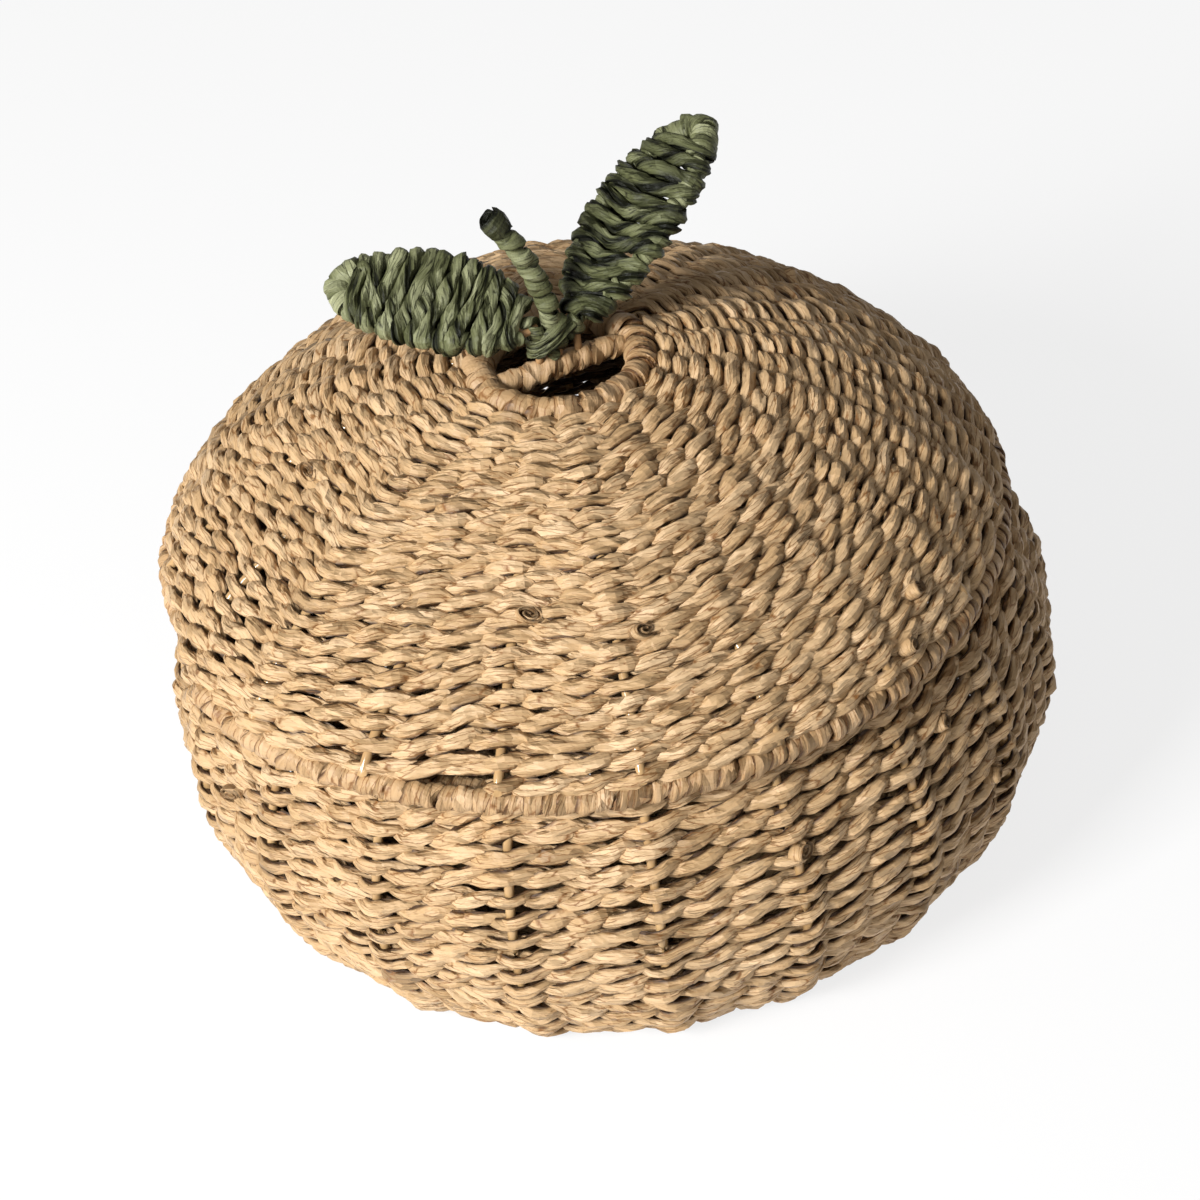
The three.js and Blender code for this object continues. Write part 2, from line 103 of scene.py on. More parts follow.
def pointsAt(places, run, points):  # where a path is at given distances along it
    return np.stack([np.interp(places, run, points[:, i]) for i in range(3)], -1)


def ease(value, low, high):  # smooth rise from 0 to 1: three squares less two cubes
    t = np.clip((value - low) / (high - low), 0, 1)
    return t * t * (3 - 2 * t)


def waver(run, seed, length):  # sum of sines of odd lengths and starts, about -1 to 1
    rng = np.random.default_rng(seed)
    lengths = length * rng.uniform(sines["shortest"], sines["longest"], sines["count"])
    starts = rng.uniform(0, 2 * np.pi, sines["count"])
    total = np.sin(2 * np.pi * run[:, None] / lengths + starts).sum(1)
    return total / sines["count"] ** 0.5 / sines["level"]


def polar(radius, azimuth, height):  # azimuth in degrees from the front towards the right
    turn = np.radians(azimuth)
    return np.stack(np.broadcast_arrays(radius * np.sin(turn), -radius * np.cos(turn), height), -1)


def smoothPath(points, count):  # Catmull-Rom curve through a few points, then evened out along its length
    points = np.asarray(points, float)
    ends = np.vstack([2 * points[0] - points[1], points, 2 * points[-1] - points[-2]])
    t = np.linspace(0, len(points) - 1, 12 * len(points))  # a dozen steps from point to point
    k = np.minimum(t.astype(int), len(points) - 2)
    f = (t - k)[:, None]
    a, b, c, d = ends[k], ends[k + 1], ends[k + 2], ends[k + 3]
    square = (2 * a - 5 * b + 4 * c - d) * f ** 2
    cube = (3 * b - a - 3 * c + d) * f ** 3
    curve = 0.5 * (2 * b + (c - a) * f + square + cube)
    run = runOf(curve)
    return pointsAt(np.linspace(0, run[-1], count), run, curve)


def evenPath(points, step):  # the same path with points a fixed step apart
    run = runOf(points)
    return pointsAt(np.linspace(0, run[-1], int(run[-1] / step)), run, points)


def squareTo(along, hint):  # the part of the hint that is square to the path
    return unit(hint - along * (hint * along).sum(1, keepdims=True))


def frameAlong(points, hint):  # the path's own direction, and the hint made square to it
    along = unit(np.gradient(points, axis=0))
    return along, squareTo(along, hint)


plainLook = {"waves": (), "fold": 0.0, "foldLength": 5.0, "deep": 0.0, "edge": 1.0}
crumple = {"drift": 1.6, "driftLength": 2.5, "swell": 0.7, "swellLength": 9.0, "endReach": 5.0}
# a strand's tone, and the painted shade that darkens it at its sides, where strands meet, and less on its
# inner side
strandShade = {"tone": 0.6, "side": (0.13, 0.62), "inside": (0.65, 0.95), "lighter": 0.6}
patternStart = 400.0  # the paper's pattern starts anywhere along this length


def sweep(centre, out, across, halfOut, halfAcross, sides, look=plainLook, seed=0, tone=None, closed=False):
    # an ellipse carried along a path: centre + out * halfOut * cos + across * halfAcross * sin, with a power
    # of the cosine that brings it to an edge at its sides; waves that slide along it and folds that fade into
    # each other roughen its radius; its tone gets painted shade, darkest at its sides where strands meet, and
    # less dark on its inner side
    count = len(centre)
    angle = np.pi + 2 * np.pi * np.arange(sides) / sides
    run = runOf(centre)
    rough = np.ones((count, sides))
    rng = np.random.default_rng(seed)
    for waves, height, slide in look["waves"]:
        drift = crumple["drift"] * waver(run, seed + waves, crumple["driftLength"] * abs(slide))
        start = rng.uniform(0, 2 * np.pi) + 2 * np.pi * run / slide + drift
        size = height * (1 + crumple["swell"] * waver(run, seed + 7 * waves, crumple["swellLength"]))
        rough += size[:, None] * np.sin(waves * angle + start[:, None])
    place = run / look["foldLength"]
    folds = rng.normal(0, 1, (int(place[-1]) + 3, sides))
    k = place.astype(int)
    f = (place - k)[:, None]
    ends = np.clip(np.minimum(run, run[-1] - run) / crumple["endReach"], 0, 1)[:, None]
    rough += look["fold"] * ends * (folds[k] * (1 - f) + folds[k + 1] * f)
    bulge = np.sign(np.cos(angle)) * np.abs(np.cos(angle)) ** look["edge"]
    wide = (np.broadcast_to(halfOut, count)[:, None] * bulge * rough)[..., None]
    tall = (np.broadcast_to(halfAcross, count)[:, None] * np.sin(angle) * rough)[..., None]
    points = centre[:, None] + out[:, None] * wide + across[:, None] * tall
    tone = np.full(count, strandShade["tone"]) if tone is None else tone
    inward = 0.5 - 0.5 * np.cos(angle)
    paintedShade = ease(inward, *strandShade["side"]) - strandShade["lighter"] * ease(inward, *strandShade["inside"])
    # painted shade taken off the tone, as much as the look's deep value
    shade = np.clip(tone[:, None] - look["deep"] * paintedShade, 0, 1)
    return {"points": points, "run": run + rng.uniform(0, patternStart), "tone": shade, "closed": closed}


uvLength = 10.0  # millimetres of strand to one unit of the uv map
capUv = {"middle": 0.5, "radius": 0.1}  # where an end face lies on it


def quadsOf(grid):  # corners of each square of a grid of rows and sides, with its uv, and the two end faces
    rows, sides = grid["tone"].shape
    i = np.arange(rows if grid["closed"] else rows - 1)[:, None]
    j = np.arange(sides)[None, :]
    nextRow = (i + 1) % rows
    nextSide = (j + 1) % sides
    here, onward = i * sides, nextRow * sides
    quads = np.stack([here + j, here + nextSide, onward + nextSide, onward + j], -1)
    shape = quads.shape[:2]
    length = grid["run"] / uvLength
    step = length[1] - length[0]
    low = np.broadcast_to(length[i], shape)
    high = np.broadcast_to(length[i] + np.where(nextRow > 0, length[nextRow] - length[i], step), shape)
    left = np.broadcast_to(j / sides, shape)
    right = np.broadcast_to((j + 1) / sides, shape)
    corners = ((left, low), (right, low), (right, high), (left, high))
    uv = np.stack([np.stack(corner, -1) for corner in corners], -2)
    middle = grid["points"].mean(1)
    k = rows // 2
    first, second = grid["points"][k, :2]
    heading = middle[min(k + 1, rows - 1)] - middle[k - 1]
    facing = np.cross(second - first, heading) @ (first + second - 2 * middle[k])
    caps = [] if grid["closed"] else [np.arange(sides)[::-1], (rows - 1) * sides + np.arange(sides)]
    quads, uv = quads.reshape(-1, 4), uv.reshape(-1, 4, 2)
    if facing < 0:  # turned round, so that faces point outwards
        return quads[:, ::-1], uv[:, ::-1], [cap[::-1] for cap in caps]
    return quads, uv, caps


def makePiece(name, grids, material, body, nodes, smooth=False):
    # one mesh from a list of swept grids: the squares and end faces of one after the other
    corners, starts, uvs, first, used = [], [], [], 0, 0
    for grid in grids:
        quads, uv, caps = quadsOf(grid)
        corners.append(quads.ravel() + first)
        starts.append(used + 4 * np.arange(len(quads)))
        uvs.append(uv.reshape(-1, 2))
        used += quads.size
        for cap in caps:
            corners.append(cap + first)
            starts.append([used])
            circle = 2 * np.pi * np.arange(len(cap)) / len(cap)
            uvs.append(capUv["middle"] + capUv["radius"] * np.stack([np.cos(circle), np.sin(circle)], -1))
            used += len(cap)
        first += grid["tone"].size
    points = np.concatenate([grid["points"].reshape(-1, 3) for grid in grids]) * metre
    tone = np.concatenate([grid["tone"].ravel() for grid in grids])
    mesh = bpy.data.meshes.new(name)
    mesh.vertices.add(len(points))
    mesh.vertices.foreach_set("co", points.ravel().astype(np.float32))
    mesh.loops.add(used)
    mesh.loops.foreach_set("vertex_index", np.concatenate(corners).astype(np.int32))
    starts = np.concatenate(starts).astype(np.int32)
    mesh.polygons.add(len(starts))
    mesh.polygons.foreach_set("loop_start", starts)
    mesh.polygons.foreach_set("use_smooth", np.full(len(starts), smooth))
    mesh.uv_layers.new(name="strand").data.foreach_set("uv", np.concatenate(uvs).ravel().astype(np.float32))
    # the tone attribute carries each strand's tone with the painted shade of its sides
    mesh.attributes.new("tone", "FLOAT", "POINT").data.foreach_set("value", tone.astype(np.float32))
    mesh.update(calc_edges=True)
    mesh.validate()
    mesh.materials.append(material)
    piece = addObject(name, mesh)
    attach(piece, body)
    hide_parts(*nodes)


# finishes

nodeStep = 200  # from node to node in the editor


def newMaterial(name):  # a material with nodes, and its tree
    material = bpy.data.materials.new(name)
    material.use_nodes = True
    return material, material.node_tree


def addNode(tree, kind, *inputs, **settings):
    # a node in a row with the others; options go by name, inputs by name or number, and a given output of
    # another node is linked
    node = tree.nodes.new(kind)
    node.location = (nodeStep * len(tree.nodes), 0)
    for key, value in (*settings.items(), *enumerate(inputs)):
        if isinstance(key, str) and hasattr(node, key):
            setattr(node, key, value)
        elif isinstance(value, bpy.types.NodeSocket):
            tree.links.new(value, node.inputs[key])
        else:
            node.inputs[key].default_value = value
    return node


def addRange(tree, source, *limits):  # straight line from two given values to two others, or to 0 and 1
    return addNode(tree, "ShaderNodeMapRange", source, *limits).outputs["Result"]


def toShader(tree, colour, rough, normal, shine):  # what the surface gets
    shader = tree.nodes["Principled BSDF"]
    shader.inputs["Specular IOR Level"].default_value = shine
    for key, source in (("Base Color", colour), ("Roughness", rough), ("Normal", normal)):
        tree.links.new(source, shader.inputs[key])


def fillRamp(node, stops):  # colours at their places from 0 to 1
    ramp = node.color_ramp
    while len(ramp.elements) < len(stops):
        ramp.elements.new(0.5)
    for element, (place, colour) in zip(ramp.elements, stops):
        element.position = place
        element.color = (*colour, 1)


# paper finishes: the darkest colour is the painted shade at strand sides; the crease colour is darker paper
# along the folds with painted shade in them
strawFinish = {"paintedShade": (0.050, 0.022, 0.007), "mid": (0.475, 0.306, 0.150), "pale": (0.605, 0.425, 0.245),
               "crease": (0.21, 0.095, 0.028), "creased": 1.1, "line": 0.09, "bump": 1.0,
               "rough": (0.66, 0.40), "shine": 0.4}
wrapFinish = {**strawFinish, "paintedShade": (0.10, 0.045, 0.014), "mid": (0.405, 0.250, 0.117),
              "pale": (0.52, 0.352, 0.197)}
greenFinish = {"paintedShade": (0.006, 0.007, 0.003), "mid": (0.112, 0.119, 0.052), "pale": (0.37, 0.38, 0.22),
               "crease": (0.012, 0.012, 0.004), "creased": 0.95, "line": 0.10, "bump": 1.0,
               "rough": (0.60, 0.34), "shine": 0.22}
paperGrain = {"fibre": (30.0, 1.6, 1.0), "cell": (0.11, 0.5, 1.0), "crease": (0.10, 1.3, 1.0),
              "cellLean": 0.2, "creaseLean": 0.1, "broad": 110.0, "bend": (1.4, 0.6, 0.0), "cellShare": 0.18,
              "fibreShare": 0.35, "broadShare": 0.30, "tones": (0.52, 1.40), "breaks": (0.40, 0.52),
              "foldDepth": 0.0024, "fibreDepth": 0.0003}
wireFinish = {"low": (0.34, 0.20, 0.085), "high": (0.48, 0.31, 0.145), "rough": (0.06, 0.26)}
twigFinish = {"low": (0.30, 0.16, 0.07), "high": (0.52, 0.31, 0.14), "rough": (0.37, 0.57)}
wireGrain = {"broad": 90.0, "fine": 900.0, "tones": (0.3, 0.7), "bump": 0.15, "depth": 0.0002,
             "shine": 0.5}


def paperMaterial(name, finish):
    # crumpled paper: long cells along the strand are facets, each tilted its own way, with crease lines at
    # the edges of longer ones, which are darker paper along the folds and painted shade in them; the strand's
    # tone with its painted shade, facet, fine fibres and a broad noise add up to the colour
    grain = paperGrain
    material, tree = newMaterial(name)
    uv = addNode(tree, "ShaderNodeUVMap", uv_map="strand").outputs["UV"]
    place = addNode(tree, "ShaderNodeTexCoord").outputs["Object"]
    # tone attribute: the strand's tone with its painted shade
    total = addNode(tree, "ShaderNodeAttribute", attribute_name="tone").outputs["Fac"]
    fibreMap = addNode(tree, "ShaderNodeMapping", uv, Scale=grain["fibre"]).outputs[0]
    cellMap = addNode(tree, "ShaderNodeMapping", uv, vector_type="TEXTURE", Scale=grain["cell"],
                      Rotation=(0, 0, grain["cellLean"])).outputs[0]
    creaseMap = addNode(tree, "ShaderNodeMapping", uv, vector_type="TEXTURE", Scale=grain["crease"],
                        Rotation=(0, 0, grain["creaseLean"])).outputs[0]
    fibre = addNode(tree, "ShaderNodeTexNoise", fibreMap, Scale=1.0, Detail=3.0, Roughness=0.6).outputs["Fac"]
    broad = addNode(tree, "ShaderNodeTexNoise", place, Scale=grain["broad"], Detail=4.0,
                    Roughness=0.65).outputs
    cell = addNode(tree, "ShaderNodeTexVoronoi", cellMap, voronoi_dimensions="2D", Scale=1.0).outputs
    bent = addNode(tree, "ShaderNodeVectorMath", broad["Color"], grain["bend"], creaseMap,
                   operation="MULTIPLY_ADD").outputs[0]
    edge = addNode(tree, "ShaderNodeTexVoronoi", bent, voronoi_dimensions="2D", feature="DISTANCE_TO_EDGE",
                   Scale=1.0).outputs["Distance"]

    for source, share in ((cell["Color"], grain["cellShare"]), (fibre, grain["fibreShare"]),
                          (broad["Fac"], grain["broadShare"])):  # weighted sum of what shifts the colour
        total = addNode(tree, "ShaderNodeMath", source, share, total, operation="MULTIPLY_ADD").outputs[0]
    colour = addNode(tree, "ShaderNodeValToRGB", addRange(tree, total, *grain["tones"]))
    fillRamp(colour, [(0.0, finish["paintedShade"]), (0.5, finish["mid"]), (1.0, finish["pale"])])
    # crease lines: darker paper along the folds, with painted shade in them
    line = addRange(tree, edge, 0.0, finish["line"], finish["creased"], 0.0)
    broken = addRange(tree, broad["Fac"], *grain["breaks"])
    faint = addNode(tree, "ShaderNodeMath", line, broken, operation="MULTIPLY").outputs[0]
    creasedAndShaded = addNode(tree, "ShaderNodeMix", data_type="RGBA", Factor=faint, A=colour.outputs["Color"],
                   B=(*finish["crease"], 1)).outputs["Result"]
    rough = addRange(tree, fibre, 0.0, 1.0, *finish["rough"])

    away = addNode(tree, "ShaderNodeVectorMath", cellMap, cell["Position"], operation="SUBTRACT").outputs[0]
    tilt = addNode(tree, "ShaderNodeVectorMath", cell["Color"], (0.5, 0.5, 0.5),
                   operation="SUBTRACT").outputs[0]
    facet = addNode(tree, "ShaderNodeVectorMath", away, tilt, operation="DOT_PRODUCT").outputs["Value"]
    folded = addNode(tree, "ShaderNodeBump", Strength=finish["bump"], Distance=grain["foldDepth"],
                     Height=facet).outputs[0]
    lined = addNode(tree, "ShaderNodeBump", Strength=finish["bump"], Distance=grain["fibreDepth"],
                    Height=fibre, Normal=folded).outputs[0]
    toShader(tree, creasedAndShaded, rough, lined, finish["shine"])
    return material


def wireMaterial(name, finish):
    # painted wire: a broad noise shifts the paint between two tones, a fine one breaks up its gloss
    grain = wireGrain
    material, tree = newMaterial(name)
    place = addNode(tree, "ShaderNodeTexCoord").outputs["Object"]
    broad = addNode(tree, "ShaderNodeTexNoise", place, Scale=grain["broad"], Detail=3.0).outputs["Fac"]
    fine = addNode(tree, "ShaderNodeTexNoise", place, Scale=grain["fine"], Detail=2.0).outputs["Fac"]
    colour = addNode(tree, "ShaderNodeValToRGB", broad)
    fillRamp(colour, list(zip(grain["tones"], (finish["low"], finish["high"]))))
    rough = addRange(tree, fine, 0.0, 1.0, *finish["rough"])
    bump = addNode(tree, "ShaderNodeBump", Strength=grain["bump"], Distance=grain["depth"], Height=fine)
    toShader(tree, colour.outputs["Color"], rough, bump.outputs[0], grain["shine"])
    return material


strawRope = paperMaterial("straw rope", strawFinish)
strawStrip = paperMaterial("straw strip", wrapFinish)
greenCord = paperMaterial("green cord", greenFinish)
tanWire = wireMaterial("tan wire", wireFinish)
twigWire = wireMaterial("twig wire", twigFinish)
print("finishes made")


# surfaces that the rope climbs, as azimuth and length up the profile

baseShape = {"floorRadius": 110.6, "lip": 5.0, "floorHeight": 4.0, "floorRing": 17.0, "bellyRadius": 138.4,
             "bellyHeight": 52.0, "roundness": 1.46, "rimRadius": 121.0, "rimHeight": 104.3,
             "firstRib": -17.0, "facet": 1.0}
lidShape = {"x": -4.0, "y": 0.0, "rimRadius": 129.0, "rimHeight": 110.045, "rise": 57.5, "holeRadius": 24.5,
            "crown": 1.75, "shoulder": 1.4, "firstRib": -51.0, "weaveStart": 6.35, "weaveEnd": 117.9,
            "rightTurn": 33.0, "leftTurn": 27.0, "stand": 0.055, "flatReach": 35.0, "flatEnd": 60.0,
            "creaseBlur": ((-2, 0.25), (0, 0.5), (2, 0.25))}
rimLap = {"azimuth": -58.0, "angle": 10.0, "ease": 30.0, "out": 3.65, "lift": 2.0, "low": 6.0, "high": 44.0}
lapStart = rimLap["azimuth"] - rimLap["angle"] / 2  # where the lid's rim wire starts
lapLength = 360 + rimLap["angle"]
lidCentre = np.array([lidShape["x"], lidShape["y"], 0.0])
quarter = np.linspace(0, np.pi / 2, 600)  # angles of a quarter round


def profileOf(radius, height):  # radius and height against length
    return {"length": runOf(np.stack([radius, height], -1)), "radius": radius, "height": height}


def baseProfile():  # level lip, then a squarish quarter round out to the belly, then a parabola in to the rim
    s = baseShape
    lip = s["floorRadius"] + s["lip"]
    power = 2 / s["roundness"]
    up = np.linspace(0, 1, 300)[1:]
    lowRadius = lip + (s["bellyRadius"] - lip) * np.sin(quarter) ** power
    lowHeight = s["floorHeight"] + (s["bellyHeight"] - s["floorHeight"]) * (1 - np.cos(quarter) ** power)
    highRadius = s["bellyRadius"] - (s["bellyRadius"] - s["rimRadius"]) * up ** 2
    highHeight = s["bellyHeight"] + (s["rimHeight"] - s["bellyHeight"]) * up
    return profileOf(np.concatenate([[s["floorRadius"]], lowRadius, highRadius]),
                     np.concatenate([[s["floorHeight"]], lowHeight, highHeight]))


def lidProfile():  # squarish quarter round from the rim up to the hole
    s = lidShape
    radius = s["holeRadius"] + (s["rimRadius"] - s["holeRadius"]) * np.cos(quarter) ** (2 / s["crown"])
    height = s["rimHeight"] + s["rise"] * (np.sin(quarter) ** 2) ** (1 / s["shoulder"])
    return profileOf(radius, height)


wallTable = baseProfile()
domeTable = lidProfile()


def profileAt(table, along):  # radius and height at lengths up a profile
    return [np.interp(along, table["length"], table[key]) for key in ("radius", "height")]


def facetShare(azimuth):
    # flats between the ribs: cosine of half a rib step over the cosine of the turn from the flat's middle
    turn = ((azimuth - baseShape["firstRib"]) / ribStep) % 1 - 0.5
    return math.cos(math.radians(ribStep / 2)) / np.cos(np.radians(turn * ribStep))


def wallAt(azimuth, along):  # the profile turned round, drawn in to flats between the ribs
    radius, height = profileAt(wallTable, along)
    return polar(radius * (1 + baseShape["facet"] * (facetShare(azimuth) - 1)), azimuth, height)


def floorAt(azimuth, along):  # level disc, its length counted in from the edge
    radius = (baseShape["floorRadius"] - along) * facetShare(azimuth)
    return polar(radius, azimuth, np.full_like(azimuth, baseShape["floorHeight"]))


def planShare(azimuth):  # two flats that meet at the crease and ease into the round, as shares of its radius
    s = lidShape
    turn = (azimuth - s["firstRib"] + 180) % 360 - 180
    side = np.where(turn > 0, s["rightTurn"], s["leftTurn"])
    away = np.abs(turn)
    lean = np.radians(np.minimum(away, s["flatEnd"]) - side)
    flat = (1 + s["stand"]) * np.cos(np.radians(side)) / np.cos(lean)
    return flat + (1 - flat) * ease(away, s["flatReach"], s["flatEnd"])


def lapShift(azimuth, along):  # the lowest rows follow the end of the rim wire that stands out
    turn = (azimuth - lapStart + 180) % 360 - 180
    after = ease(turn, rimLap["angle"], rimLap["angle"] + rimLap["ease"])
    before = ease(-turn, 0, rimLap["ease"] / 2)
    return rimLap["out"] * (1 - after - before) * (1 - ease(along, rimLap["low"], rimLap["high"]))


def domeAt(azimuth, along):  # the profile turned round and scaled by the plan, which fades out at both edges
    s = lidShape
    radius, height = profileAt(domeTable, along)
    plan = sum(weight * planShare(azimuth + turn) for turn, weight in s["creaseBlur"])
    share = np.clip((along - s["weaveStart"]) / (s["weaveEnd"] - s["weaveStart"]), 0, 1)
    scale = 1 + np.sin(np.pi * share) * (plan - 1)
    return polar(radius * scale + lapShift(azimuth, along), azimuth, height) + lidCentre


# rope of two strands

# deep is how much painted shade darkens the sides of the rope strands
ropeLook = {"waves": ((2, 0.07, 23.0), (3, 0.07, 13.0), (5, 0.05, 9.0)), "fold": 0.11, "foldLength": 2.6,
            "deep": 0.9, "edge": 1.5}
ropeLay = {"turnSteps": 720, "rowLength": 50.0, "twistNoise": 0.6, "phaseNoise": 0.25, "phaseWaver": 0.3,
           "phaseLength": 17.0, "leastOpen": 0.35, "endTaper": 4.0, "snap": 0.2, "closer": 0.9,
           "thinner": 0.4, "frontThick": 0.16, "thickLength": 28.0, "tone": 0.68, "toneNoise": 0.08,
           "toneWaver": 0.10, "toneLength": 60.0, "rowStep": 0.96, "levelFrom": 1.0, "levelTo": 11.0,
           "lowest": 0.05}
wallWeave = {"from": -175.0, "turns": 17.4, "start": 3.2, "end": 111.0, "firstRib": baseShape["firstRib"],
             "step": 1.6, "sides": 14, "twist": 13.4, "offset": 1.2, "ribOffset": 2.1, "upOffset": 1.5,
             "halfOut": 1.9, "halfAcross": 2.35, "ribAcross": 1.3, "ribReach": 11.0, "openMiddle": 66.0,
             "openSpread": 30.0, "openShare": 0.92, "rowWaver": 0.5, "thickWaver": 0.10, "reverse": (1, 5),
             "seed": 11}
domeWeave = {"from": -17.0, "turns": 22.4, "start": 5.0, "end": 117.8, "firstRib": lidShape["firstRib"],
             "step": 1.6, "sides": 14, "twist": 13.4, "offset": 1.1, "ribOffset": 2.0, "upOffset": 1.3,
             "halfOut": 1.85, "halfAcross": 2.15, "ribAcross": 1.6, "ribReach": 5.0, "openMiddle": 40.0,
             "openSpread": 70.0, "openShare": 0.32, "rowWaver": 0.22, "thickWaver": 0.10, "reverse": (),
             "seed": 23}
floorWeave = {"from": 30.0, "turns": 13.0, "start": 3.5, "end": 92.0, "firstRib": baseShape["firstRib"],
              "step": 1.8, "sides": 8, "twist": 11.0, "offset": 1.2, "ribOffset": 2.3, "upOffset": 1.5,
              "halfOut": 1.8, "halfAcross": 3.2, "ribAcross": 2.8, "ribReach": 7.0, "openMiddle": 45.0,
              "openSpread": 60.0, "openShare": 0.0, "rowWaver": 0.3, "thickWaver": 0.06, "reverse": (),
              "seed": 37}


def stepShift(turn):  # from the even climb to level rows with one step each, which fades over the first turns
    level = np.floor(turn) + ease(turn % 1, ropeLay["rowStep"], 1.0)
    fade = (ropeLay["levelTo"] - turn) / (ropeLay["levelTo"] - ropeLay["levelFrom"])
    return (level - turn + 0.5) * np.clip(fade, 0, 1)


def climbAt(turn, weave):  # even climb, with level rows at its very start and end
    pitch = (weave["end"] - weave["start"]) / (weave["turns"] - 1)
    return weave["start"] + pitch * (turn - 0.5 + stepShift(turn) - stepShift(weave["turns"] - turn))


def twine(surface, weave):
    # a spiral up the surface; the two strands circle it, in step with the ribs, so that one passes in front
    # of each rib and one behind; they stand further apart there, and lie narrower at some ribs
    lay = ropeLay
    seed = weave["seed"]
    rng = np.random.default_rng(seed)
    turn = np.linspace(0, weave["turns"], int(weave["turns"] * lay["turnSteps"]))
    length = runOf(surface(weave["from"] + 360 * turn, climbAt(turn, weave)))
    run = np.linspace(0, length[-1], int(length[-1] / weave["step"]))
    turn = np.interp(run, length, turn)
    azimuth = weave["from"] + 360 * turn
    along = climbAt(turn, weave) + weave["rowWaver"] * waver(run, seed, lay["rowLength"])
    centre = surface(azimuth, along)
    ahead = surface(azimuth + 0.5, along) - surface(azimuth - 0.5, along)  # over one degree
    tangent = unit(ahead)
    normal = unit(np.cross(tangent, surface(azimuth, along + 0.3) - surface(azimuth, along - 0.3)))
    up = np.cross(normal, tangent)
    rib = (azimuth - weave["firstRib"]) / ribStep
    spacing = np.linalg.norm(ahead, axis=1) * ribStep
    knots = np.arange(np.floor(rib[0]), np.ceil(rib[-1]) + 1)
    gap = np.interp(knots[:-1] + 0.5, rib, spacing)
    uneven = rng.uniform(-lay["twistNoise"], lay["twistNoise"], len(gap))
    halves = np.maximum(1, np.round(gap / weave["twist"] + uneven))  # half turns from rib to rib
    row = np.floor((knots[:-1] - knots[0]) / ribCount)
    sign = np.where(np.isin(row, weave["reverse"]), -1, 1)
    phases = np.concatenate([[0], np.cumsum(np.pi * halves * sign)])
    phases = phases + rng.normal(0, lay["phaseNoise"], len(knots))
    phase = np.interp(rib, knots, phases) + lay["phaseWaver"] * waver(run, seed + 3, lay["phaseLength"])
    openAt = rng.uniform(lay["leastOpen"], 1, len(knots) + 1)
    openAt = openAt * (rng.uniform(0, 1, len(knots) + 1) < weave["openShare"])
    spread = np.exp(-((along - weave["openMiddle"]) / weave["openSpread"]) ** 2)
    near = np.exp(-(np.abs(rib - np.round(rib)) * spacing / weave["ribReach"]) ** 2)
    narrow = near * spread * openAt[(np.round(rib) - knots[0]).astype(int)]
    taper = np.sqrt(np.clip(np.minimum(run, run[-1] - run) / lay["endTaper"], 0.02, 1))
    apart = weave["offset"] + (weave["ribOffset"] - weave["offset"]) * near
    strands = []
    for strand in (0, 1):
        angle = phase + np.pi * strand
        angle = angle - 0.5 * lay["snap"] * np.sin(2 * angle)  # quicker at the sides than in front
        cos, sin = np.cos(angle), np.sin(angle)
        lift = sin * weave["upOffset"] * (1 - lay["closer"] * narrow)
        path = centre + normal * (cos * apart)[:, None] + up * lift[:, None]
        swell = weave["thickWaver"] * waver(run, seed + 5 + strand, lay["thickLength"])
        thick = taper * (1 + swell + lay["frontThick"] * cos)
        broad = thick * (weave["halfAcross"] + (weave["ribAcross"] - weave["halfAcross"]) * narrow)
        deep = thick * weave["halfOut"] * (1 - lay["thinner"] * narrow)
        shown = np.floor((angle + np.pi / 2) / (2 * np.pi)).astype(int)  # one tone for each stretch in front
        tones = rng.normal(0, lay["toneNoise"], shown.max() - shown.min() + 1)
        tone = lay["tone"] + tones[shown - shown.min()]
        tone = np.clip(tone + lay["toneWaver"] * waver(run, seed + 9 + strand, lay["toneLength"]), 0, 1)
        heading, out = frameAlong(path, normal)
        strands.append((path, out, np.cross(out, heading), deep, broad, tone))
    return strands


def ropePieces(name, surface, weave, parts, body, nodes):  # each strand is cut into a few meshes end to end
    for strand, (path, out, across, halfOut, halfAcross, tone) in enumerate(twine(surface, weave)):
        cuts = np.linspace(0, len(path) - 1, parts + 1).astype(int)
        for part in range(parts):
            cut = slice(cuts[part], cuts[part + 1] + 1)
            grid = sweep(path[cut], out[cut], across[cut], halfOut[cut], halfAcross[cut], weave["sides"],
                         ropeLook, weave["seed"] + strand, tone[cut])
            height = grid["points"][..., 2]
            grid["points"][..., 2] = np.maximum(height, ropeLay["lowest"])  # flat underneath
            makePiece(f"{name}_{'ab'[strand]}{part + 1}", [grid], strawRope, body, nodes)


rolled = {"turnSteps": 24, "sides": 8}
cutEnd = {"turns": 2.2, "from": 0.5, "to": 4.3, "flat": 0.55, "halfOut": 0.65, "halfAcross": 2.6, "tone": 0.6,
          "proud": 2.0, "outward": 0.85, "ahead": 0.5, "seed": 91}
# cut ends get less painted shade at their sides
cutLook = {**ropeLook, "deep": 0.4}
domeEnds = ((-12.0, 47.0), (7.0, 44.5), (49.7, 18.5), (43.5, 8.0), (-78.0, 62.0), (128.0, 51.0),
            (-150.0, 36.0))
wallEnds = ((44.5, 96.0), (50.7, 67.0), (19.0, 86.0), (-62.0, 80.0), (110.0, 75.0), (-128.0, 88.0))


